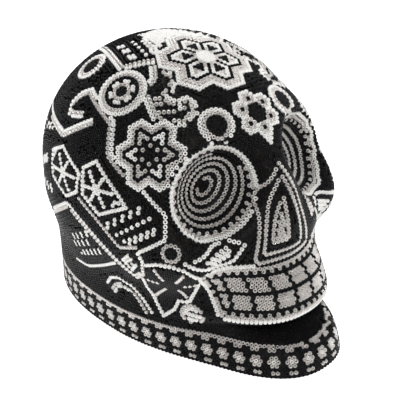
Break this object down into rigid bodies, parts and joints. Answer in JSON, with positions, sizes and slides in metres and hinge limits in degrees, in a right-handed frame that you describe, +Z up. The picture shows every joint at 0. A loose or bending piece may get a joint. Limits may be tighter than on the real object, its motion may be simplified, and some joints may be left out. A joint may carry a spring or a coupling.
{
  "type": "beaded skull",
  "caption": "Free-standing skull figure with a closed jaw, set all over with small glass beads in black, white and silver flower, star, leaf and panel motifs.",
  "frame": {"origin": "middle of the flat underside, on the surface that the skull stands on", "axes": "+Z up, the face looks along -Y, the skull's own right side is at -X"},
  "size_m": [0.1239, 0.1776, 0.1359],
  "materials": {
    "black_beads": "glossy opaque black glass",
    "white_beads": "glossy opaque white glass",
    "silver_beads": "clear glass with a silvered hole",
    "beeswax": "soft dark wax",
    "papier_mache": "rough moulded paper"
  },
  "bodies": {
    "root": {"back_ground_beads": "black_beads", "base_band_beads": "black_beads", "beeswax_coat": "beeswax", "brow_flower_beads": "white_beads", "chin_groove_beads": "black_beads", "crown_flower_beads": "white_beads", "face_ground_beads": "black_beads", "left_back_ring_beads": "white_beads", "left_brow_ring_beads": "white_beads", "left_cheek_circle_beads": "silver_beads", "left_cheek_disc_beads": "white_beads", "left_cheek_flower_beads": "white_beads", "left_cheek_leaf_beads": "white_beads", "left_eye_bowl_beads": "silver_beads", "left_eye_rim_beads": "white_beads", "left_jaw_arch_beads": "white_beads", "left_side_panel_beads": "white_beads", "left_target_ring_beads": "white_beads", "left_temple_star_beads": "white_beads", "left_volute_beads": "white_beads", "lower_teeth_beads": "silver_beads", "mouth_border_beads": "white_beads", "mouth_ground_beads": "black_beads", "nape_star_beads": "white_beads", "nose_beads": "silver_beads", "paper_seam_strip": "papier_mache", "papier_mache_back_half": "papier_mache", "papier_mache_front_half": "papier_mache", "right_back_ring_beads": "white_beads", "right_brow_ring_beads": "white_beads", "right_cheek_circle_beads": "silver_beads", "right_cheek_disc_beads": "white_beads", "right_cheek_flower_beads": "white_beads", "right_cheek_leaf_beads": "white_beads", "right_eye_bowl_beads": "silver_beads", "right_eye_rim_beads": "white_beads", "right_jaw_arch_beads": "white_beads", "right_side_panel_beads": "white_beads", "right_target_ring_beads": "white_beads", "right_temple_star_beads": "white_beads", "right_volute_beads": "white_beads", "upper_teeth_beads": "silver_beads", "woven_panel_beads": "white_beads"}
  },
  "joints": []
}
